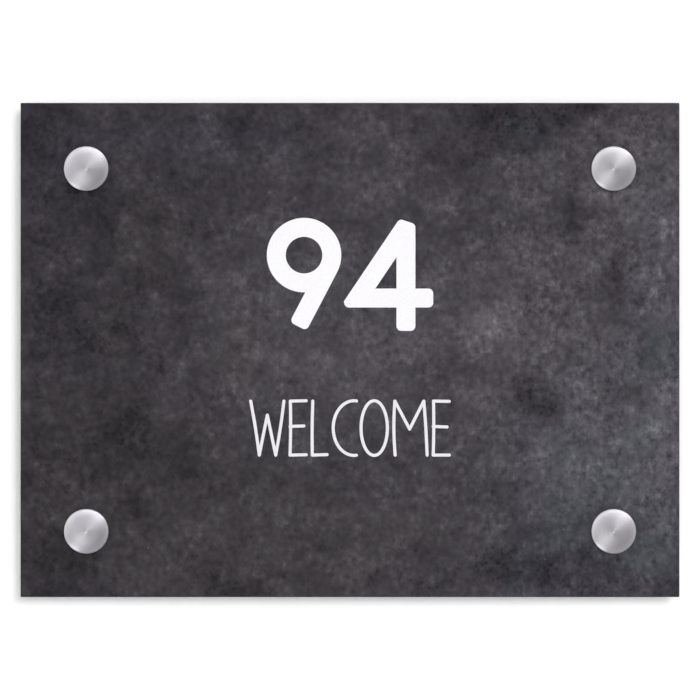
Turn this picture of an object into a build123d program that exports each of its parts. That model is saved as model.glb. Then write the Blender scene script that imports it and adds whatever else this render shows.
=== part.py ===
"""Door name plate on four turned stand-offs, in millimetres.

The frame is the wall's: +X to the right, +Z up, the wall is the plane y = 0 and the printed face looks
towards -Y. The origin lies on the wall, midway between the four wall fixings. Everything in front of the
wall therefore has a negative y, and only the wall screws reach behind it.
"""
from build123d import *
import os

# The printed sheet
plate_width = 200.0
plate_height = 150.0
plate_thickness = 3.0
plate_corner_radius = 0.3
plate_edge_break = 0.2
fixing_inset = 20.0  # from the middle of a hole to each of the two edges beside it

# The stand-off: what the cap, the barrel and the washers share
standoff_diameter = 13.6
thread_diameter = 8.0  # over the crests, which the plain stud and bore stand for
thread_clearance = 0.05  # on the radius, between stud and bore
plate_hole_clearance = 0.5  # on the radius, between stud and sheet

# The cap: a crowned head on a stud
head_height = 2.4
head_crown_rise = 0.22
head_rim_radius = 0.8
head_seat_chamfer = 0.25
centre_mark_diameter = 0.7
centre_mark_depth = 0.2
stud_engagement = 6.0  # length of stud inside the barrel
stud_end_chamfer = 0.8
relief_diameter = 6.8
relief_length = 1.4

# The barrel: a sleeve that stands on the wall
barrel_length = 15.0
barrel_edge_chamfer = 0.35
barrel_foot_thickness = 4.0
barrel_bore_lead_in = 0.6

# The clear washers
washer_thickness = 0.6
washer_setback = 0.4  # how far the washer's rim lies inside the stand-off's side
washer_bore_clearance = 0.15  # on the radius, between stud and washer

# The wall screws
screw_length = 30.0  # from the top of the head to the point
screw_diameter = 3.5  # over the thread
screw_neck_diameter = 2.7  # plain, between the head and the thread
screw_thread_setback = 0.3  # from the barrel's foot to the start of the thread
screw_head_diameter = 6.8
screw_head_land = 0.3  # straight rim of the head above its cone
screw_point_length = 5.0
screw_hole_clearance = 0.3  # on the radius, between shank and barrel foot
screw_seat_clearance = 0.05  # between the head and its countersink
recess_span = 3.4
recess_blade = 0.8
recess_depth = 1.5
recess_taper = 8.0  # degrees

# Where each layer starts and ends, from the wall outwards
barrel_front = -barrel_length
plate_back = barrel_front - washer_thickness
plate_front = plate_back - plate_thickness
head_back = plate_front - washer_thickness
head_front = head_back - head_height
stud_end = barrel_front + stud_engagement
bore_floor = -barrel_foot_thickness

# Radii that follow from the sizes above
standoff_radius = standoff_diameter / 2
thread_radius = thread_diameter / 2
plate_hole_radius = thread_radius + plate_hole_clearance
bore_radius = thread_radius + thread_clearance
screw_radius = screw_diameter / 2
screw_neck_radius = screw_neck_diameter / 2
screw_head_radius = screw_head_diameter / 2
screw_hole_radius = screw_radius + screw_hole_clearance
sink_radius = screw_head_radius + screw_seat_clearance

# The four fixings, by the corner that each one holds
fixing_x = plate_width / 2 - fixing_inset
fixing_z = plate_height / 2 - fixing_inset
corners = {
    "top_left": (-fixing_x, fixing_z),
    "top_right": (fixing_x, fixing_z),
    "bottom_left": (-fixing_x, -fixing_z),
    "bottom_right": (fixing_x, -fixing_z),
}


def turned(*points):
    """Turn an outline about the fixing's axis; each point is a radius and a place along the axis."""
    return revolve(make_face(Polyline(*points, close=True)), Axis.Y)


def circle_at(solid, radius, y):
    """The round edge of a turned solid that has this radius and lies at this place."""
    for edge in solid.edges().filter_by(GeomType.CIRCLE):
        if abs(edge.radius - radius) < 0.001 and abs(edge.center().Y - y) < 0.001:
            return edge
    raise ValueError(f"no round edge of radius {radius} at y = {y}")


def name_plate():
    """The sheet: cut to size, drilled in each corner, its long edges lightly broken."""
    outline = RectangleRounded(plate_width, plate_height, plate_corner_radius)
    for x, z in corners.values():
        outline -= Pos(x, z) * Circle(plate_hole_radius)
    # The drawing plane looks out of the wall, so that the sheet grows towards its printed face
    back = Plane(origin=(0, plate_back, 0), x_dir=(1, 0, 0), z_dir=(0, -1, 0))
    sheet = extrude(back * outline, plate_thickness)
    faces = sheet.faces().filter_by(Axis.Y)
    rims = [edge for face in faces for edge in face.outer_wire().edges()]
    return chamfer(rims, plate_edge_break)


def standoff_cap():
    """The cap: a crowned head with a rolled rim, a thread relief under it and a plain stud."""
    crown_edge = head_front + head_crown_rise
    mark_radius = centre_mark_diameter / 2
    relief_radius = relief_diameter / 2
    relief_end = head_back + relief_length
    sides = Polyline(
        (standoff_radius, crown_edge),
        (standoff_radius, head_back - head_seat_chamfer),
        (standoff_radius - head_seat_chamfer, head_back),
        (relief_radius, head_back),
        (relief_radius, relief_end),
        (thread_radius, relief_end + thread_radius - relief_radius),
        (thread_radius, stud_end - stud_end_chamfer),
        (thread_radius - stud_end_chamfer, stud_end),
        (0, stud_end),
        (0, head_front),
    )
    crown = ThreePointArc(
        (0, head_front),
        (standoff_radius / 2, head_front + head_crown_rise / 4),
        (standoff_radius, crown_edge),
    )
    cap = revolve(make_face(sides + crown), Axis.Y)
    cap = fillet(circle_at(cap, standoff_radius, crown_edge), head_rim_radius)
    # The lathe centre leaves a small cone in the middle of the face
    cap -= turned((0, head_front - 1), (mark_radius, head_front - 1), (mark_radius, head_front),
                  (0, head_front + centre_mark_depth))
    return cap


def standoff_barrel():
    """The barrel: bored for the stud from the front, with a countersunk screw hole in its foot."""
    mouth_radius = bore_radius + barrel_bore_lead_in
    sink_cone = bore_floor + screw_head_land
    sink_floor = sink_cone + sink_radius - screw_hole_radius
    return turned(
        (screw_hole_radius, 0),
        (standoff_radius - barrel_edge_chamfer, 0),
        (standoff_radius, -barrel_edge_chamfer),
        (standoff_radius, barrel_front + barrel_edge_chamfer),
        (standoff_radius - barrel_edge_chamfer, barrel_front),
        (mouth_radius, barrel_front),
        (bore_radius, barrel_front + barrel_bore_lead_in),
        (bore_radius, bore_floor),
        (sink_radius, bore_floor),
        (sink_radius, sink_cone),
        (screw_hole_radius, sink_floor),
    )


def washer(back):
    """A clear washer whose wall side lies at this place."""
    inner = thread_radius + washer_bore_clearance
    outer = standoff_radius - washer_setback
    front = back - washer_thickness
    return turned((inner, back), (outer, back), (outer, front), (inner, front))


def wall_screw():
    """A countersunk screw: head level with the bore's floor, plain neck through the foot, thread behind."""
    head_top = bore_floor
    cone_start = head_top + screw_head_land
    neck_start = cone_start + screw_head_radius - screw_neck_radius
    tip = head_top + screw_length
    screw = turned(
        (0, head_top),
        (screw_head_radius, head_top),
        (screw_head_radius, cone_start),
        (screw_neck_radius, neck_start),
        (screw_neck_radius, screw_thread_setback),
        (screw_radius, screw_thread_setback),
        (screw_radius, tip - screw_point_length),
        (0, tip),
    )
    cross = Rectangle(recess_span, recess_blade) + Rectangle(recess_blade, recess_span)
    top = Plane(origin=(0, head_top, 0), x_dir=(1, 0, 0), z_dir=(0, 1, 0))
    return screw - extrude(top * cross, recess_depth, taper=recess_taper)


def save(name, shape):
    """Write one sub-part, under its own name."""
    export_step(shape, os.path.join("parts", name + ".step"))
    print(f"{name}: {shape.volume:.1f} mm3")


os.makedirs("parts", exist_ok=True)
save("name_plate", name_plate())

cap = standoff_cap()
barrel = standoff_barrel()
front_washer = washer(plate_front)
rear_washer = washer(barrel_front)
screw = wall_screw()
for corner, (x, z) in corners.items():
    place = Pos(x, 0, z)
    save("standoff_cap_" + corner, place * cap)
    save("front_washer_" + corner, place * front_washer)
    save("rear_washer_" + corner, place * rear_washer)
    save("standoff_barrel_" + corner, place * barrel)
save("wall_screws", Compound([Pos(x, 0, z) * screw for x, z in corners.values()]))
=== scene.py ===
"""A printed door name plate on four turned steel stand-offs, as it hangs on a pale wall."""
import math
import bmesh
import bpy
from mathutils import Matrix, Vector
from mathutils.geometry import delaunay_2d_cdt


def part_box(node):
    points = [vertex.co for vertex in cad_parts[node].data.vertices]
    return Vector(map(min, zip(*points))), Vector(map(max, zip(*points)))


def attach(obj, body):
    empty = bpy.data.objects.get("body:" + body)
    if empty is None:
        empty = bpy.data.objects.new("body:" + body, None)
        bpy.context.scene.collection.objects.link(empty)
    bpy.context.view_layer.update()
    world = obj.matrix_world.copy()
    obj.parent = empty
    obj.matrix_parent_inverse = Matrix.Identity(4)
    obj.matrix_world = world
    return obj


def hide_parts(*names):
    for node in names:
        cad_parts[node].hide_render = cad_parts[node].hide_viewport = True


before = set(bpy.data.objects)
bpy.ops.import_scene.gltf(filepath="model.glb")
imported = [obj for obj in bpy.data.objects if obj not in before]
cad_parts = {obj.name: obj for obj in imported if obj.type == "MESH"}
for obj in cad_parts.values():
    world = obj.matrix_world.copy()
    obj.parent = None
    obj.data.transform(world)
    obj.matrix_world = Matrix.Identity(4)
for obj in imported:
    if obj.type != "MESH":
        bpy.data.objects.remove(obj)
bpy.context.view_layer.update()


# The printed sheet
# A rigid sheet, cut square, with a photographic print of dark concrete on its front that runs right to
# the cut. The print is matt. The cut edges and the back are plain black plastic, left as they come.
mm = 0.001
sheet_low, sheet_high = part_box("name_plate")
sheet_front = sheet_low.y
print_margin = 0.06 * mm  # how far the print wraps on to the broken edge
print_roughness = 0.62
black_plastic = (0.022, 0.021, 0.023)

# The print's tone and colour casts, all in levels from 0 to 255
left_tone = 50
tone_rise = 14  # how much lighter the right side is
mottle_depth = 84
blotch_depth = 8
tone_trim = 0.9
speck_tone = 34
pit_depth = 2.5
pit_in_stain = 0.7  # how much deeper a pit is for each level of the stain that it lies in
cast_warm = (1.0, -2.0, 1.0)  # what each cast adds to red, green and blue
cast_violet = (-0.3, -3.3, 3.7)
cast_teal = (-3.0, -1.5, 4.5)

# How far noise moves the edges of clouds and marks, in mm from one side to the other
cloud_wander = 19
mark_wander = 6

# Where clouds and mottle are softer: middle across and up and reach in mm, and what is taken off there
calm_place = (-15, 5, 20, 20)
calm_wander = 11
calm_mottle = 38

# The grit's strength as a share of the tone, and the strips at the left and top, in mm, without it
left_grit = 0.56
grit_rise = 0.22
smooth_left = 3.6
smooth_top = 2.3
strip_start = 0.6  # the grit comes back from this share of a strip's width on
strip_grit = 0.25  # the share of it that is left in a strip

# Clouds in the concrete: middle across and up from the sheet's centre and reach across and up, in mm, and
# strength in levels
clouds = (
    (45, 15, 26, 16, 8),
    (43, 9, 8, 9, 14),
    (66, -35, 18, 14, 15),
    (88, -28, 16, 22, 9),
    (88, 46, 16, 26, 13),
    (74, 28, 10, 8, 3),
    (80, 4, 16, 9, 6),
    (6, -6, 26, 12, 17),
    (-12, 20, 16, 14, 14),
    (-36, 6, 14, 16, 11),
    (-34, -66, 16, 9, 7),
    (84, -66, 14, 9, 5),
    (0, 46, 22, 10, 3),
    (2, 66, 12, 6, 3),
    (4, -52, 16, 9, 5),
    (-12, -50, 8, 7, -5),
    (98, 20, 9, 60, 8),
    (91, -24, 11, 7, 12),
    (56, 1, 10, 7, 8),
    (-25, -8, 12, 9, 12),
    (-38, 22, 10, 11, 10),
    (55, -40, 10, 12, 13),
    (-40, -54, 10, 8, 6),
    (-24, -40, 9, 7, 7),
    (47, 66, 9, 10, -16),
    (24, -71, 8, 5, -17),
    (48, -6, 8, 9, 8),
    (80, -18, 8, 8, 9),
    (97, -54, 8, 10, 9),
    (-85, 19, 7, 5, 7),
    (-84, 2, 8, 8, -11),
    (-72, -60, 8, 8, 6),
    (-64, 8, 11, 9, -8),
    (56, -15, 8, 7, -15),
    (26, -9, 9, 8, -14),
    (68, 40, 5, 9, -9),
    (80, 23, 4, 6, -10),
    (-90, 12, 9, 11, -9),
    (-72, -28, 13, 9, -13),
    (-96, 62, 11, 14, -9),
    (-76, 48, 12, 8, -11),
    (47, 73, 18, 5, -18),
    (72, 74, 8, 4, -11),
    (34, 60, 12, 10, -9),
    (-33, -72, 12, 7, -18),
    (-90, -62, 14, 8, -11),
    (44, -64, 8, 7, -9),
    (62, -68, 16, 7, -17),
    (20, -62, 12, 8, -5),
    (36, -40, 7, 13, -5),
    (0, -41, 8, 6, -5),
    (60, 56, 7, 14, 5),
    (-54, 20, 8, 7, 4),
    (84, -70, 12, 6, -12),
)

# Small stains and worn places that stand out, given as the clouds are
marks = (
    (61, -18, 3.5, 3, -15),
    (54, -11, 4, 2.5, -14),
    (71, 18, 3, 2.5, -16),
    (68, 44, 2.5, 3, -10),
    (68, 35, 2, 4, -9),
    (81, 22, 2, 4, -14),
    (64, 71, 4, 3, -14),
    (73, 74, 5, 3, -14),
    (88, 15, 2, 2, -12),
    (79, -24, 2.5, 5, -12),
    (96, -7, 3, 2.5, -12),
    (98, -39, 3, 3, -12),
    (97, -73, 5, 3, -16),
    (44, -64, 4, 3, -11),
    (59, -68, 3, 3, -11),
    (41, 15, 2.5, 3, -11),
    (48, -48, 2.5, 2.5, -9),
    (-90, 15, 5, 4, -11),
    (-72, -26, 4, 3, -11),
    (-65, -18, 2.5, 2.5, -9),
    (-46, 17, 2, 2, -8),
    (-18, -9, 2, 2, -9),
    (75, 26, 2.5, 2, 18),
    (58, -32, 3, 2.5, 12),
    (21, 29, 2, 2, 11),
    (85, -19, 3, 2.5, 11),
    (98, -21, 3, 3, 11),
    (-37, 3, 3, 3, 8),
)

# Colour casts, placed and sized as the clouds are: how much more violet, how much more teal
casts = (
    (-50, 64, 42, 8, 0.5, 0.0),
    (-86, 54, 12, 10, 0.4, 0.0),
    (-62, 34, 11, 14, -0.45, 0.0),
    (-72, 8, 7, 9, -0.4, 0.0),
    (-34, 0, 7, 9, -0.4, 0.0),
    (-82, -38, 40, 24, -0.6, 0.0),
    (-30, -58, 36, 18, -0.6, 0.0),
    (20, -54, 14, 6, -0.4, 0.0),
    (70, -42, 34, 36, 0.5, 0.0),
    (94, 24, 12, 40, 0.4, 0.0),
    (84, -54, 30, 26, 0.0, 0.45),
    (94, -1, 10, 8, 0.2, 0.9),
    (74, -4, 9, 5, 0.0, 0.35),
    (66, -30, 6, 8, 0.0, 0.6),
    (64, -53, 6, 8, 0.0, 0.8),
    (88, -26, 8, 7, 0.0, 0.8),
    (78, -40, 7, 5, 0.0, 0.5),
    (93, -63, 8, 6, 0.0, 0.8),
    (52, -68, 6, 9, 0.0, 0.6),
    (52, 68, 7, 6, 0.0, 0.8),
)


class Wire:
    """One socket in a material. Arithmetic on it adds Math nodes, and node() adds any other node."""

    def __init__(self, tree, socket=None):
        self.tree = tree
        self.socket = socket

    def node(self, kind, settings, inputs, output=0):
        """Add a node of this kind: its settings first, then the values or links of its sockets."""
        made = self.tree.nodes.new("ShaderNode" + kind)
        for name, value in settings.items():
            setattr(made, name, value)
        for name, value in inputs.items():
            if isinstance(value, Wire):
                self.tree.links.new(value.socket, made.inputs[name])
            else:
                made.inputs[name].default_value = value
        return Wire(self.tree, made.outputs[output] if made.outputs else None)

    def also(self, output):
        """Another output of the node that this wire comes from."""
        return Wire(self.tree, self.socket.node.outputs[output])

    def __add__(self, other):
        return self.node("Math", {"operation": "ADD"}, {0: self, 1: other})

    def __sub__(self, other):
        return self.node("Math", {"operation": "SUBTRACT"}, {0: self, 1: other})

    def __rsub__(self, other):
        return self.node("Math", {"operation": "SUBTRACT"}, {0: other, 1: self})

    def __mul__(self, other):
        return self.node("Math", {"operation": "MULTIPLY"}, {0: self, 1: other})

    def __pow__(self, other):
        return self.node("Math", {"operation": "POWER"}, {0: self, 1: other})

    def __rpow__(self, other):
        return self.node("Math", {"operation": "POWER"}, {0: other, 1: self})

    __radd__ = __add__
    __rmul__ = __mul__

    def between(self, low, high):
        """0 below low, 1 above high and a smooth rise from one to the other."""
        return self.node("MapRange", {"interpolation_type": "SMOOTHSTEP"}, {0: self, 1: low, 2: high})

    def blend(self, low, high):
        """The colour low where this is 0 and high where it is 1."""
        low, high = ((*c, 1) if isinstance(c, tuple) else c for c in (low, high))
        return self.node("Mix", {"data_type": "RGBA"}, {0: self, 6: low, 7: high}, 2)

    def lean(self, low, high):
        """The vector low where this is 0 and high where it is 1; its parts may be below 0."""
        return self.node("Mix", {"data_type": "VECTOR"}, {0: self, 4: low, 5: high}, 1)

    def noise(self, place, scale, detail=2.0, roughness=0.5, output=0):
        """Cloudy noise of about 0 to 1, read at a place; scale is how many clouds go to a millimetre."""
        return self.node("TexNoise", {}, {
            "Vector": place, "Scale": scale, "Detail": detail, "Roughness": roughness,
        }, output)


def new_material(name):
    """An empty node material, and the wire that its nodes are added from."""
    material = bpy.data.materials.new(name)
    material.use_nodes = True
    material.node_tree.nodes.clear()
    return material, Wire(material.node_tree)


def finish_material(wire, settings):
    """Give the surface its Principled shader, with these values and links."""
    surface = wire.node("BsdfPrincipled", {}, settings)
    wire.node("OutputMaterial", {}, {"Surface": surface})


def place_in_mm(wire):
    """Where a point of the surface lies on its own piece, in millimetres: as a vector, and x, y and z."""
    metres = wire.node("TexCoord", {}, {}, 3)
    place = wire.node("VectorMath", {"operation": "SCALE"}, {0: metres, "Scale": 1 / mm})
    split = wire.node("SeparateXYZ", {}, {0: place})
    return place, split, split.also(1), split.also(2)


def printed_concrete():
    """Dark concrete: placed clouds and casts, mottle of all sizes, patchy grit, pits and pale specks."""
    material, wire = new_material("printed_concrete")
    place, x, y, z = place_in_mm(wire)

    # Clouds and marks have ragged edges, because noise shifts the place that they are read at
    def shifted(scale, detail, roughness, reach):
        """The place, moved by noise of this scale, by up to half of this reach to each side."""
        noise = wire.noise(place, scale, detail, roughness, output=1)
        centred = wire.node("VectorMath", {"operation": "SUBTRACT"}, {0: noise, 1: (0.5, 0.5, 0.5)})
        reached = wire.node("VectorMath", {"operation": "SCALE"}, {0: centred, "Scale": reach})
        return wire.node("VectorMath", {"operation": "ADD"}, {0: place, 1: reached})

    def patch(spot, across, up, reach_x, reach_z):
        """1 in the middle of a cloud, falling away softly to 0."""
        offset = wire.node("VectorMath", {"operation": "MULTIPLY_ADD"}, {
            0: spot, 1: (1 / reach_x, 0, 1 / reach_z), 2: (-across / reach_x, 0, -up / reach_z),
        })
        distance = wire.node("VectorMath", {"operation": "DOT_PRODUCT"}, {0: offset, 1: offset}, 1)
        return math.exp(-1) ** distance

    calm = patch(place, *calm_place)
    cloud_spot = shifted(0.07, 3.0, 0.6, cloud_wander - calm_wander * calm)
    mark_spot = shifted(0.35, 2.0, 0.7, mark_wander)
    tone = left_tone + tone_rise * wire.node("SeparateXYZ", {}, {0: cloud_spot}).between(-90, 60)
    stain = 0
    for spot, forms in ((cloud_spot, clouds), (mark_spot, marks)):
        for *where, strength in forms:
            form = strength * patch(spot, *where)
            tone = tone + form
            stain = stain - form if strength < 0 else stain

    # The grey leans half-way to violet, a little more or less from place to place, and the casts add to it
    violet = 0.5 + 0.3 * (wire.noise(place, 0.04) - 0.5)
    teal = 0
    for *where, more_violet, more_teal in casts:
        form = patch(cloud_spot, *where)
        violet = violet + more_violet * form if more_violet else violet
        teal = teal + more_teal * form if more_teal else teal

    # Mottle is as strong at 15 mm as at 2 mm. Blotches are small stains on a flatter ground. Grit is
    # coarser than the print's dots, and patchy, and its cube makes a few grains stand out.
    mottle = wire.noise(place, 1 / 15, 3.0, 1.0) - 0.5
    blotch = 1 - wire.noise(place, 0.19, 3.0, 0.6).between(0.32, 0.46)
    tone = tone + mottle * (mottle_depth - calm_mottle * calm) - blotch_depth * blotch + tone_trim
    stain = stain + blotch_depth * blotch
    drawn = wire.node("Mapping", {}, {"Vector": place, "Scale": (1.0, 1.0, 0.87)})
    grain = wire.noise(drawn, 0.62, 0.9, 0.75) - 0.5
    gritty = wire.noise(place, 0.13, 1.0).between(0.35, 0.65)
    from_left = (x + sheet_high.x / mm).between(strip_start * smooth_left, smooth_left)
    from_top = (sheet_high.z / mm - z).between(strip_start * smooth_top, smooth_top)
    inside = from_left * from_top
    grit = (1.0 + 6.0 * grain * grain) * grain * (0.6 + 0.6 * gritty)
    grit = grit * (strip_grit + (1 - strip_grit) * inside)
    tone = tone + tone * grit * (left_grit + grit_rise * x.between(20, 65))

    # Pits are small and dark, and crowd where the concrete is stained; specks are smaller, pale and rare
    pits = wire.node("TexVoronoi", {}, {"Vector": place, "Scale": 0.55})
    specks = wire.node("TexVoronoi", {}, {"Vector": place, "Scale": 0.09})
    tone = tone - (pit_depth + pit_in_stain * stain) * (1 - pits.between(0.1, 0.45))
    tone = tone + speck_tone * (1 - specks.between(0.01, 0.035)) * inside

    # Tone and tint are levels as a screen takes them; its curve turns them into light
    screen_offset = 0.055
    screen_gamma = 2.4
    tint = teal.between(0, 1).lean(violet.between(0, 1).lean(cast_warm, cast_violet), cast_teal)
    grey = wire.node("CombineXYZ", {}, {0: tone, 1: tone, 2: tone})
    levels = wire.node("VectorMath", {"operation": "ADD"}, {0: grey, 1: tint})
    above_black = wire.node("VectorMath", {"operation": "MULTIPLY_ADD"}, {
        0: levels,
        1: (1 / 255 / (1 + screen_offset),) * 3,
        2: (screen_offset / (1 + screen_offset),) * 3,
    })
    concrete = wire.node("Gamma", {}, {0: above_black, 1: screen_gamma})
    printed = 1 - (y * mm).between(sheet_front, sheet_front + print_margin)

    # The cutter leaves fine lines across the edges, and the print has the tooth of its matt film
    sawn = wire.node("Mapping", {}, {"Vector": place, "Scale": (1.0, 0.06, 1.0)})
    relief = printed * wire.noise(place, 2.4, 3.0) + (1 - printed) * wire.noise(sawn, 3.0, 2.0)
    bump = wire.node("Bump", {}, {"Strength": 0.12, "Distance": 0.02 * mm, "Height": relief})
    finish_material(wire, {
        "Base Color": printed.blend(black_plastic, concrete),
        "Roughness": print_roughness + 0.1 * mottle - 0.12 * (1 - printed),
        "Specular IOR Level": 0.22,
        "Normal": bump,
    })
    return material


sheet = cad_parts["name_plate"]
sheet.data.materials.clear()
sheet.data.materials.append(printed_concrete())


# The number
# Two figures in a bold round hand, printed in opaque white over the concrete. The ink stands a few
# hundredths of a millimetre proud, so each print is a thin solid on the sheet's face.
ink_height = 0.04 * mm
number_stroke = 5.75
number_height = 34.0
number_baseline = 5.8
number_end_radius = 1.45
round_overshoot = 0.3  # how far a round figure rises above a straight one
ring_radius = 11.3
stem_lean = math.radians(27.6)
stem_length = 20.0
four_width = 27.1
four_bar_right = 21.7
four_cross_bottom = 7.1
four_apex_run = 0.9  # the upright's left side to the top of the leaning stroke
four_shoulder_drop = 1.6
four_tip_rise = 1.9
four_tip_run = 0.3
four_tip_radius = 0.6
figure_gap = 0.8


def white_ink(name, colour):
    """Opaque matt white screen ink, very slightly uneven."""
    material, wire = new_material(name)
    place = place_in_mm(wire)[0]
    film = wire.noise(place, 1.5, 3.0)
    thin = tuple(0.95 * c for c in colour)
    bump = wire.node("Bump", {}, {"Strength": 0.1, "Distance": 0.01 * mm, "Height": film})
    finish_material(wire, {
        "Base Color": film.between(0.3, 0.7).blend(thin, colour),
        "Roughness": 0.5 + 0.08 * (film - 0.5),
        "Specular IOR Level": 0.3,
        "Normal": bump,
    })
    return material


def arc(centre, radius, start, end, steps):
    """Points along an arc, from one angle to another, both ends included."""
    angles = (start + (end - start) * i / steps for i in range(steps + 1))
    return [centre + radius * Vector((math.cos(a), math.sin(a))) for a in angles]


def rounded(points, radii):
    """A closed outline with each corner rounded to its own radius; 0 keeps the corner."""
    outline = []
    for i, radius in enumerate(radii):
        corner = Vector(points[i])
        before = (Vector(points[i - 1]) - corner).normalized()
        after = (Vector(points[(i + 1) % len(points)]) - corner).normalized()
        if radius == 0:
            outline.append(corner)
            continue
        half = before.angle(after) / 2
        middle = corner + (before + after).normalized() * radius / math.sin(half)
        first = corner + before * radius / math.tan(half) - middle
        last = corner + after * radius / math.tan(half) - middle
        start = math.atan2(first.y, first.x)
        sweep = math.remainder(math.atan2(last.y, last.x) - start, 2 * math.pi)
        outline += arc(middle, radius, start, start + sweep, 6)
    return outline


def print_solid(name, material, fields, holes, at):
    """Join overlapping fields, less the holes, and raise them off the sheet as one thin solid."""
    points = []
    loops = []
    for outline in fields + holes:
        loops.append([len(points) + i for i in range(len(outline))])
        points += [Vector(p) for p in outline]
    found, _, faces, _, _, origins = delaunay_2d_cdt(points, [], loops, 0, 1e-5)
    mesh = bmesh.new()
    ink_front = sheet_front - ink_height
    front = [mesh.verts.new(((p.x + at[0]) * mm, ink_front, (p.y + at[1]) * mm)) for p in found]
    for face, origin in zip(faces, origins):
        if origin and max(origin) < len(fields):
            mesh.faces.new([front[i] for i in face])
    raised = bmesh.ops.extrude_face_region(mesh, geom=mesh.faces[:])
    for vert in raised["geom"]:
        if isinstance(vert, bmesh.types.BMVert):
            vert.co.y = sheet_front
    bmesh.ops.delete(mesh, geom=[v for v in mesh.verts if not v.link_faces], context="VERTS")
    bmesh.ops.recalc_face_normals(mesh, faces=mesh.faces)
    data = bpy.data.meshes.new(name)
    mesh.to_mesh(data)
    mesh.free()
    data.materials.append(material)
    piece = bpy.data.objects.new(name, data)
    bpy.context.scene.collection.objects.link(piece)
    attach(piece, "root")


def figure_nine():
    """A ring with a straight leaning stem, which runs off the ring's right side."""
    centre = Vector((ring_radius, number_height + round_overshoot - ring_radius))
    down = Vector((-math.sin(stem_lean), -math.cos(stem_lean)))
    side = Vector((math.cos(stem_lean), -math.sin(stem_lean)))
    touch = centre + side * (ring_radius - number_stroke / 2)
    half = side * number_stroke / 2
    foot = touch + down * stem_length
    stem = rounded([touch + half, touch - half, foot - half, foot + half],
                   [0, 0, number_end_radius, number_end_radius])
    disc = arc(centre, ring_radius, 0, 2 * math.pi, 96)[:-1]
    eye = arc(centre, ring_radius - number_stroke, 0, 2 * math.pi, 72)[:-1]
    return [disc, stem], [eye]


def figure_four():
    """An upright, a cross-bar and a leaning stroke, drawn as one outline round a triangular eye."""
    bar_left = four_bar_right - number_stroke
    cross_top = four_cross_bottom + number_stroke
    apex = Vector((bar_left + four_apex_run, number_height))
    tip = Vector((0.0, four_cross_bottom + four_tip_rise))
    lean = (apex - tip).normalized()
    inner = Vector((lean.y, -lean.x)) * number_stroke
    eye_left = tip + inner + lean * (cross_top - tip.y - inner.y) / lean.y
    eye_top = tip + inner + lean * (bar_left - tip.x - inner.x) / lean.x
    end = number_end_radius
    outline = rounded(
        [(bar_left, 0), (four_bar_right, 0), (four_bar_right, four_cross_bottom),
         (four_width, four_cross_bottom), (four_width, cross_top), (four_bar_right, cross_top),
         (four_bar_right, number_height - four_shoulder_drop), apex, tip,
         (four_tip_run, four_cross_bottom), (bar_left, four_cross_bottom)],
        [end, end, 0, end, end, 0, end, end, four_tip_radius, end, 0],
    )
    return [outline], [[eye_left, (bar_left, cross_top), eye_top]]


number_ink = white_ink("number_ink", (0.965, 0.95, 0.975))
number_left = -(2 * ring_radius + figure_gap + four_width) / 2
print_solid("number_first_figure", number_ink, *figure_nine(), (number_left, number_baseline))
second_left = number_left + 2 * ring_radius + figure_gap
print_solid("number_second_figure", number_ink, *figure_four(), (second_left, number_baseline))


# The line under the number
# A plain word of greeting in the same white ink, a shade thinner. It is set in tall narrow capitals, all
# of one line width and drawn as if by hand with a round pen.
pen = 0.94  # width of the pen's line
capital = 16.4  # height of a letter
line_baseline = -31.9
letter_gap = 1.85


def leg(start, end, bow=0.0):
    """A pen stroke from start to end that bows to its left by a little."""
    start, end = Vector(start), Vector(end)
    run = end - start
    left = Vector((-run.y, run.x)).normalized()
    steps = 10
    return [start + run * i / steps + left * bow * math.sin(math.pi * i / steps)
            for i in range(steps + 1)]


def bowl(middle, reach_x, reach_y, start, end):
    """A pen stroke along part of an oval, between two angles in degrees."""
    steps = 40
    points = []
    for i in range(steps + 1):
        a = math.radians(start + (end - start) * i / steps)
        points.append(Vector((middle[0] + reach_x * math.cos(a), middle[1] + reach_y * math.sin(a))))
    return points


def pen_outline(stroke):
    """The outline that a round pen leaves along a stroke."""
    left = []
    right = []
    for i, point in enumerate(stroke):
        ahead = stroke[min(i + 1, len(stroke) - 1)] - stroke[max(i - 1, 0)]
        normal = Vector((-ahead.y, ahead.x)).normalized() * pen / 2
        left.append(point + normal)
        right.append(point - normal)
    ends = []
    for tip, run in ((stroke[-1], stroke[-1] - stroke[-2]), (stroke[0], stroke[0] - stroke[1])):
        a = math.atan2(run.y, run.x)
        ends.append(arc(tip, pen / 2, a + math.pi / 2, a - math.pi / 2, 8)[1:-1])
    return (left + ends[0] + right[::-1] + ends[1])[::-1]


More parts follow.
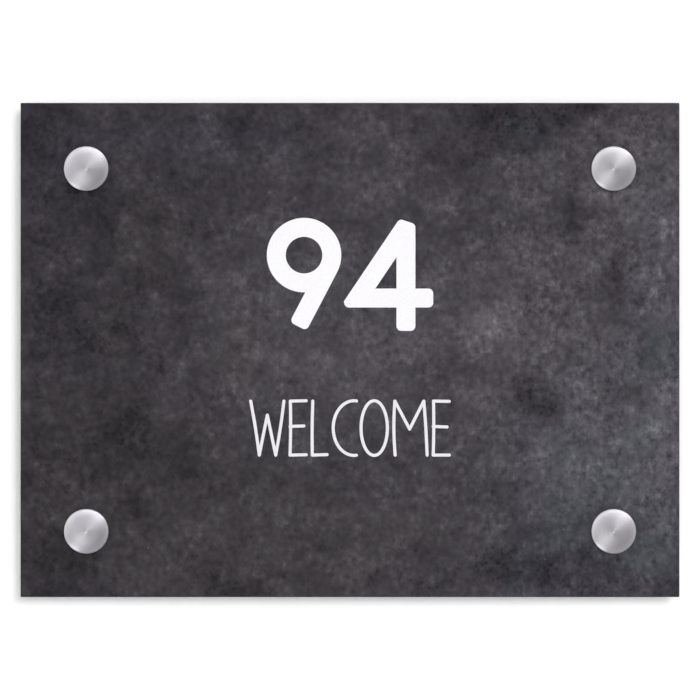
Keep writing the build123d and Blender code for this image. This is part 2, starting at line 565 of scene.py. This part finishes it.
# Each letter's name, width in mm and strokes
letters = (
    ("W", 10.1, (
        leg((0, capital), (2.6, 0), 0.15),
        leg((2.6, 0), (5.05, 0.74 * capital)),
        leg((5.05, 0.74 * capital), (7.6, 0)),
        leg((7.6, 0), (10.1, capital), -0.15),
    )),
    ("E", 4.9, (
        leg((0.1, capital), (0, 0), 0.12),
        leg((0.1, capital), (4.9, capital + 0.1)),
        leg((0, 0.53 * capital), (4.2, 0.54 * capital)),
        leg((0, 0), (4.9, 0.1)),
    )),
    ("L", 4.5, (
        leg((0.15, capital), (0, 0), -0.12),
        leg((0, 0), (4.5, 0.15)),
    )),
    ("C", 6.6, (
        bowl((6.3, capital / 2), 6.3, capital / 2 + 0.1, 83, 277),
    )),
    ("O", 8.0, (
        bowl((4, capital / 2), 4, capital / 2 + 0.1, 90, 272),
        bowl((4, capital / 2), 4, capital / 2 + 0.1, 88, -90),
    )),
    ("M", 10.2, (
        leg((0.4, capital), (0.5, 0), -0.35),
        leg((0.4, capital), (4.9, 0.48 * capital)),
        leg((4.9, 0.48 * capital), (9.2, capital)),
        leg((9.2, capital), (10.2, 0), 0.12),
    )),
    ("E", 4.9, (
        leg((0.1, capital), (0, 0), 0.12),
        leg((0.1, capital), (4.9, capital - 0.1)),
        leg((0, 0.53 * capital), (4.2, 0.52 * capital)),
        leg((0, 0), (4.9, 0)),
    )),
)
line_ink = white_ink("line_ink", (0.84, 0.82, 0.85))
letter_left = -(sum(width for _, width, _ in letters) + letter_gap * (len(letters) - 1)) / 2
for order, (letter, width, strokes) in enumerate(letters, 1):
    outlines = [pen_outline(stroke) for stroke in strokes]
    print_solid(f"greeting_{order}_{letter}", line_ink, outlines, [], (letter_left, line_baseline))
    letter_left += width + letter_gap


# The stand-off caps
# Turned from stainless bar: a domed head with the lathe centre's small mark, and behind it a relief and a
# fine-threaded stud. The stud passes through the sheet into the barrel, and so clamps the sheet between
# the two.
corners = ("top_left", "top_right", "bottom_left", "bottom_right")
around = 96
crown_depth = 1.15  # mm, from the middle of the face to its rim
crown_shape = 2.2  # 2 is an ellipse, more is flatter with a tighter rim
seat_chamfer = 0.25
steel_dark = (0.49, 0.47, 0.515)
steel_light = (0.74, 0.72, 0.765)
crown_steps = 28
crease_angle = math.radians(28)  # edges sharper than this are shaded as edges
mark_radius = 0.35
mark_depth = 0.2
mark_lip = 0.02
mark_rim = 0.001  # how far the mark's rim lies behind the head's foremost point
stud_radius = 4.0
stud_pitch = 1.0
thread_depth = 0.55
thread_flank = 1.15  # 1 is a plain V, more leaves a flat root
thread_step = stud_pitch / 10  # how finely an outline is divided where a thread is cut in it
stud_chamfer = 0.6
relief_radius = 3.4
relief_length = 1.4


def fixing_box(node):
    """A turned node: its axis in the wall's plane in metres, and its radius, front and back in mm."""
    low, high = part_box(node)
    axis = ((low.x + high.x) / 2, (low.z + high.z) / 2)
    return axis, (high.x - low.x) / 2 / mm, low.y / mm, high.y / mm


def fine_steps(start, end, step):
    """Points along a straight part of an outline, close enough together to cut a thread in it."""
    count = math.ceil((Vector(end) - Vector(start)).length / step)
    return [tuple(Vector(start).lerp(Vector(end), i / count)) for i in range(count + 1)]


def v_thread(depth, turn):
    """The radius of the stud's thread, at a depth and at a part of a turn."""
    ridge = abs(2 * ((depth / stud_pitch + turn) % 1) - 1)
    return stud_radius - thread_depth * min(1, thread_flank * (1 - ridge))


def turned_piece(name, outline, axis, material, node, closed=False, cut=None):
    """Turn an outline of (radius, depth) points in mm, where depth runs from the wall's plane inwards.

    cut(radius, depth, turn) gives the radius where the outline isn't round, as on a thread. The piece's
    own Z is the lathe's axis, so that brushed highlights run round it. It takes the place of a CAD node.
    """
    mesh = bmesh.new()
    rings = []
    for radius, depth in outline:
        ring = []
        for i in range(around if radius else 1):
            turn = i / around
            angle = 2 * math.pi * turn
            r = cut(radius, depth, turn) if cut else radius
            ring.append(mesh.verts.new((r * math.cos(angle) * mm, r * math.sin(angle) * mm, -depth * mm)))
        rings.append(ring)
    pairs = list(zip(rings, rings[1:]))
    if closed:
        pairs.append((rings[-1], rings[0]))
    for a, b in pairs:
        for i in range(around):
            j = (i + 1) % around
            quad = (a[i % len(a)], a[j % len(a)], b[j % len(b)], b[i % len(b)])
            mesh.faces.new(tuple(dict.fromkeys(quad)))
    bmesh.ops.recalc_face_normals(mesh, faces=mesh.faces)
    for face in mesh.faces:
        face.smooth = True
    for edge in mesh.edges:
        edge.smooth = edge.calc_face_angle(0) < crease_angle
    data = bpy.data.meshes.new(name)
    mesh.to_mesh(data)
    mesh.free()
    data.materials.append(material)
    piece = bpy.data.objects.new(name, data)
    piece.rotation_euler = (math.pi / 2, 0, 0)
    piece.location = (axis[0], 0, axis[1])
    bpy.context.scene.collection.objects.link(piece)
    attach(piece, "root")
    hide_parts(node)
    return piece


def turned_steel(name, roughness, anisotropy, groove):
    """Stainless steel as the lathe leaves it: grooves round the axis, some deeper, and duller places.

    It stays rougher than 0.275, because the denoiser shows patches of smoother steel as dark flecks.
    """
    material, wire = new_material(name)
    place, x, y, z = place_in_mm(wire)
    radius = (x * x + y * y) ** 0.5
    track = wire.node("CombineXYZ", {}, {0: radius, 1: z})
    fine = wire.noise(track, 9.0, 3.0, 0.7)
    broad = wire.noise(track, 1.6, 2.0, 0.7)
    worn = wire.noise(place, 0.5, 4.0)
    bump = wire.node("Bump", {}, {"Strength": groove, "Distance": 0.01 * mm, "Height": fine})
    finish_material(wire, {
        "Base Color": (0.4 * fine + 0.6 * broad).blend(steel_dark, steel_light),
        "Metallic": 1.0,
        "Roughness": roughness + 0.04 * (broad - 0.5) + 0.05 * (worn - 0.5),
        "Anisotropic": anisotropy,
        "Anisotropic Rotation": 0.25,
        "Normal": bump,
    })
    return material


face_steel = turned_steel("face_turned_steel", 0.3, 0.65, 0.35)
for corner in corners:
    axis, head_radius, head_front, stud_end = fixing_box("standoff_cap_" + corner)
    head_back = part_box("front_washer_" + corner)[0].y / mm
    crown = []
    for i in range(crown_steps + 1):
        a = math.pi / 2 * i / crown_steps
        r = head_radius * math.sin(a) ** (2 / crown_shape)
        if r > mark_radius:
            crown.append((r, head_front + crown_depth * (1 - math.cos(a) ** (2 / crown_shape))))
    relief_end = head_back + relief_length
    slope_end = relief_end + stud_radius - relief_radius
    thread_end = stud_end - stud_chamfer
    outline = (
        [(0, head_front + mark_depth), (mark_radius * 0.9, head_front + mark_lip),
         (mark_radius, head_front + mark_rim)]
        + crown
        + [(head_radius, head_back - seat_chamfer), (head_radius - seat_chamfer, head_back),
           (relief_radius, head_back)]
        + fine_steps((relief_radius, relief_end), (stud_radius, slope_end), thread_step)
        + fine_steps((stud_radius, slope_end + thread_step), (stud_radius, thread_end), thread_step)
        + fine_steps((stud_radius - thread_step / 2, thread_end + thread_step / 2),
                     (stud_radius - stud_chamfer, stud_end), thread_step)
        + [(0, stud_end)]
    )

    def cut_stud(radius, depth, turn):
        return min(radius, v_thread(depth, turn)) if depth > relief_end else radius

    turned_piece("standoff_head_" + corner, outline, axis, face_steel, "standoff_cap_" + corner,
                 cut=cut_stud)


# The clear washers
# One under each head and one behind the sheet, punched from soft clear plastic, slightly milky. They keep
# the steel off the print and let the sheet move a little in its holes.
washer_bore = 4.15
washer_edge = 0.08
plastic_cloudy = (0.78, 0.8, 0.81)
plastic_clear = (0.87, 0.88, 0.89)


def clear_plastic():
    """Clear soft plastic: mostly see-through, with a faint cloud and a few scuffs."""
    material, wire = new_material("clear_soft_plastic")
    place = place_in_mm(wire)[0]
    milk = wire.noise(place, 0.6, 3.0)
    scuffs = wire.noise(place, 3.0, 4.0, 0.7)
    bump = wire.node("Bump", {}, {"Strength": 0.15, "Distance": 0.02 * mm, "Height": scuffs})
    finish_material(wire, {
        "Base Color": milk.blend(plastic_cloudy, plastic_clear),
        "Roughness": 0.18 + 0.12 * scuffs,
        "IOR": 1.5,
        "Transmission Weight": 0.55,
        "Normal": bump,
    })
    return material


washer_plastic = clear_plastic()
for corner in corners:
    for side in ("front", "rear"):
        node = f"{side}_washer_{corner}"
        axis, outer, front, back = fixing_box(node)
        outline = [
            (washer_bore, back - washer_edge),
            (washer_bore, front + washer_edge),
            (washer_bore + washer_edge, front),
            (outer - washer_edge, front),
            (outer, front + washer_edge),
            (outer, back - washer_edge),
            (outer - washer_edge, back),
            (washer_bore + washer_edge, back),
        ]
        turned_piece(f"{side}_clear_washer_{corner}", outline, axis, washer_plastic, node,
                     closed=True)


# The barrels
# The same stainless bar as the caps, bored and tapped from the front for the stud. The foot stands on the
# wall and has a countersunk hole for the wall screw. The sides are turned smooth, both rims chamfered.
barrel_chamfer = 0.35
barrel_edge = 0.06
foot_thickness = 4.0
thread_clearance = 0.05
bore_radius = stud_radius + thread_clearance
mouth_radius = 4.65
tapped_length = 8.0
screw_hole = 2.05
sink_radius = 3.45
sink_land = 0.3

side_steel = turned_steel("side_turned_steel", 0.34, 0.55, 0.5)
for corner in corners:
    axis, outer, front, back = fixing_box("standoff_barrel_" + corner)
    rim = outer - barrel_chamfer
    tap_start = front + mouth_radius - bore_radius
    tap_end = front + tapped_length
    foot = back - foot_thickness
    outline = (
        [(screw_hole, back), (rim - barrel_edge, back), (rim, back - barrel_edge / 2),
         (outer - barrel_edge / 2, back - barrel_chamfer), (outer, back - barrel_chamfer - barrel_edge),
         (outer, front + barrel_chamfer + barrel_edge), (outer - barrel_edge / 2, front + barrel_chamfer),
         (rim, front + barrel_edge / 2), (rim - barrel_edge, front), (mouth_radius, front)]
        + fine_steps((bore_radius, tap_start), (bore_radius, tap_end), thread_step)
        + [(bore_radius, tap_end + thread_step), (bore_radius, foot), (sink_radius, foot),
           (sink_radius, foot + sink_land), (screw_hole, foot + sink_land + sink_radius - screw_hole)]
    )

    def cut_bore(radius, depth, turn):
        tapped = abs(radius - bore_radius) < 0.001 and depth < tap_end
        return v_thread(depth, turn) + thread_clearance if tapped else radius

    turned_piece("standoff_sleeve_" + corner, outline, axis, side_steel, "standoff_barrel_" + corner,
                 closed=True, cut=cut_bore)


# The wall screws
# Zinc-plated steel, countersunk, with a cross recess: the head lies in the barrel's foot, a plain neck
# passes through it, and the coarse thread with its sharp crest runs to the point in the wall plug.
screw_head = 3.4
screw_land = 0.3
screw_neck = 1.35
screw_crest = 1.75
screw_root = 1.15
screw_pitch = 1.6
screw_step = screw_pitch / 14
crest_share = 0.32  # how much of the pitch the crest's two flanks take
screw_thread_start = 0.3
thread_shoulder = 0.05
screw_point = 5.0
point_radius = 0.12  # where the point starts to be rounded off, this far from its end
point_rounding = 0.3
recess_half = 1.7
recess_blade = 0.4
recess_depth = 1.5
recess_taper = 0.8  # the recess's floor is this share of its mouth
zinc_dark = (0.52, 0.54, 0.58)
zinc_light = (0.68, 0.69, 0.7)


def zinc_plate():
    """Bright zinc: cool and fairly smooth, with a crystalline cloud and duller rubbed places."""
    material, wire = new_material("bright_zinc_plate")
    place = place_in_mm(wire)[0]
    bloom = wire.noise(place, 1.1, 4.0, 0.6)
    rubbed = wire.noise(place, 0.4, 3.0)
    bump = wire.node("Bump", {}, {"Strength": 0.2, "Distance": 0.01 * mm, "Height": bloom})
    finish_material(wire, {
        "Base Color": bloom.blend(zinc_dark, zinc_light),
        "Metallic": 1.0,
        "Roughness": 0.24 + 0.14 * rubbed,
        "Normal": bump,
    })
    return material


def cut_screw(radius, depth, turn):
    """The cross in the head; the sharp crest on a wide root, which narrows with the point, behind it."""
    if radius == 0:
        return 0
    if radius <= recess_half and depth <= screw_top + recess_depth:
        arm = abs(math.remainder(2 * math.pi * turn, math.pi / 2))
        reach = min(recess_half / math.cos(arm), recess_blade / max(math.sin(arm), 0.01))
        return radius / recess_half * reach
    if depth < screw_thread_start:
        return radius
    ridge = abs(2 * ((depth / screw_pitch + turn) % 1) - 1)
    grown = min(1, (depth - screw_thread_start) / screw_pitch)
    root = radius * screw_root / screw_crest
    return root + (radius - root) * max(0, 1 - ridge / crest_share) * grown


zinc = zinc_plate()
screws_low, screws_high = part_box("wall_screws")
screw_top = screws_low.y / mm
screw_tip = screws_high.y / mm
for corner in corners:
    axis = fixing_box("standoff_barrel_" + corner)[0]
    cone = screw_top + screw_land
    neck = cone + screw_head - screw_neck
    taper = screw_tip - screw_point
    outline = (
        [(0, screw_top + recess_depth), (recess_half * recess_taper, screw_top + recess_depth),
         (recess_half, screw_top), (screw_head, screw_top), (screw_head, cone), (screw_neck, neck),
         (screw_neck, screw_thread_start - thread_shoulder)]
        + fine_steps((screw_crest, screw_thread_start), (screw_crest, taper), screw_step)
        + fine_steps((screw_crest, taper + 0.1), (point_radius, screw_tip - point_rounding), screw_step)
        + [(0, screw_tip)]
    )
    turned_piece("wall_screw_" + corner, outline, axis, zinc, "wall_screws", cut=cut_screw)


# The wall and the floor
# A white painted wall that the barrels stand on, and a pale plain floor far below. Both are one-sided, so
# that the plate can be looked at from behind and from below. Neither is part of the object.
room_reach = 2.0  # m, to each side of the plate, upwards and towards the camera
wall_shade = 0.96
wall_glow = 0.125
wall_sink = 0.02 * mm  # the barrels' feet stand this far in the paint, so that they show from behind
floor_level = -1.4
floor_shade = 0.9
floor_glow = 0.1


def stage_plane(name, points, material):
    """A flat piece of the surroundings."""
    data = bpy.data.meshes.new(name)
    data.from_pydata(points, [], [list(range(len(points)))])
    data.materials.append(material)
    piece = bpy.data.objects.new(name, data)
    bpy.context.scene.collection.objects.link(piece)
    return piece


def one_sided_paint(name, shade, glow, stops_light):
    """Matt paint, a little brighter to the camera, that isn't there from behind.

    Unless it stops light, lamps shine through it, so that the back light reaches the plate.
    """
    material, wire = new_material(name)
    camera_ray = wire.node("LightPath", {}, {})
    paint = wire.node("BsdfDiffuse", {}, {"Color": (shade, shade, shade, 1)})
    glowing = wire.node("Emission", {}, {"Strength": glow * camera_ray})
    lit = wire.node("AddShader", {}, {0: paint, 1: glowing})
    gone = wire.node("NewGeometry", {}, {}, 6)
    if not stops_light:
        shadow_ray = camera_ray.also("Is Shadow Ray")
        gone = wire.node("Math", {"operation": "MAXIMUM"}, {0: gone, 1: shadow_ray})
    clear = wire.node("BsdfTransparent", {}, {})
    surface = wire.node("MixShader", {}, {0: gone, 1: lit, 2: clear})
    wire.node("OutputMaterial", {}, {"Surface": surface})
    return material


wall_corners = [
    (-room_reach, -wall_sink, floor_level),
    (room_reach, -wall_sink, floor_level),
    (room_reach, -wall_sink, room_reach),
    (-room_reach, -wall_sink, room_reach),
]
floor_corners = [
    (-room_reach, -room_reach, floor_level),
    (room_reach, -room_reach, floor_level),
    (room_reach, room_reach, floor_level),
    (-room_reach, room_reach, floor_level),
]
wall_paint = one_sided_paint("wall_paint", wall_shade, wall_glow, stops_light=False)
floor_paint = one_sided_paint("floor_paint", floor_shade, floor_glow, stops_light=True)
stage_plane("wall", wall_corners, wall_paint)
floor = stage_plane("floor", floor_corners, floor_paint)
floor.visible_glossy = False  # the steel sees the room described below in its place


# The light
# Two even lights from in front cast the tight shadow on the wall: a narrower one, a little to the right
# and above, and a broader one straight on. A third lights only the plate's back. Steel sees none of them,
# but softboxes in a room that is brighter up and left, and dark behind the camera.
def sun(name, right, up, angle, strength, into_wall=1):
    """An even light, so many degrees to the right and up, and so many degrees wide."""
    data = bpy.data.lights.new(name, "SUN")
    data.energy = strength
    data.angle = math.radians(angle)
    lamp = bpy.data.objects.new(name, data)
    towards = Vector((-math.tan(math.radians(right)), into_wall, -math.tan(math.radians(up))))
    lamp.rotation_euler = towards.to_track_quat("-Z", "Y").to_euler()
    lamp.visible_glossy = False
    bpy.context.scene.collection.objects.link(lamp)


sun("key_light", 8.1, 7.5, 11.2, 1.33)
sun("fill_light", 0, 0, 17.4, 1.05)
sun("back_light", 20, 0, 12, 2.0, into_wall=-1)

ambient = 0.25
room_level = 0.81
room_tilt = 0.69
room_bright_side = 113  # degrees round from the right
dark_core = 0.72  # how much darker the room is behind the camera
dark_inner = 12.5  # degrees from the view's axis, where the darkness starts to fade
dark_outer = 37.5
patch_edge = 3.0  # degrees

# Softboxes in the room that the steel sees: degrees round and away from the view's axis, reach in degrees
# and brightness
softboxes = (
    (45, 17, 8, 1.2),
    (73, 37, 21, 0.73),
    (48, 64, 16, 1.15),
    (140, 24, 17, 0.47),
    (235, 36, 9, 1.0),
    (232, 58, 14, 0.9),
    (230, 11, 8, 1.3),
    (330, 11, 9, 0.06),
)


def away(azimuth, off_axis):
    """The direction this far round from the right, and this far away from the view's axis."""
    a, t = math.radians(azimuth), math.radians(off_axis)
    return Vector((math.sin(t) * math.cos(a), -math.cos(t), math.sin(t) * math.sin(a)))


def reach(direction, middle, outer, inner):
    """1 where a direction lies within the inner angle of the middle one, and 0 beyond the outer angle."""
    facing = direction.node("VectorMath", {"operation": "DOT_PRODUCT"}, {0: direction, 1: middle}, 1)
    return facing.between(math.cos(math.radians(outer)), math.cos(math.radians(inner)))


world = bpy.data.worlds.new("studio")
bpy.context.scene.world = world
world.use_nodes = True
world.node_tree.nodes.clear()
sky = Wire(world.node_tree)
camera_ray = sky.node("LightPath", {}, {})
through_plastic = camera_ray.also("Is Transmission Ray")
white = sky.node("Math", {"operation": "MAXIMUM"}, {0: camera_ray, 1: through_plastic})
direction = sky.node("TexCoord", {}, {})
reflected = room_level + room_tilt * (reach(direction, away(room_bright_side, 90), 180, 0) - 0.5)
reflected = reflected * (1 - dark_core * reach(direction, away(0, 0), dark_outer, dark_inner))
for azimuth, off_axis, radius, brightness in softboxes:
    box = reach(direction, away(azimuth, off_axis), radius + patch_edge, radius - patch_edge)
    reflected = reflected + brightness * box
glossy = camera_ray.also("Is Glossy Ray")
strength = white + (1 - white) * (glossy * reflected + (1 - glossy) * ambient)
background = sky.node("Background", {}, {"Color": (1, 1, 1, 1), "Strength": strength})
sky.node("OutputWorld", {}, {"Surface": background})


# The camera
# Straight in front and far off, as the photograph shows no side of the plate.
picture_width = 212.48 * mm  # at the sheet's face
lens = 400.0
sensor = 36.0
camera_data = bpy.data.cameras.new("camera")
camera_data.lens = lens
camera_data.sensor_width = sensor
camera_data.clip_end = 20
camera = bpy.data.objects.new("camera", camera_data)
camera.location = (0, sheet_front - picture_width * lens / sensor, 0)
camera.rotation_euler = (math.pi / 2, 0, 0)
bpy.context.scene.collection.objects.link(camera)
bpy.context.scene.camera = camera
bpy.context.scene.view_settings.view_transform = "Standard"
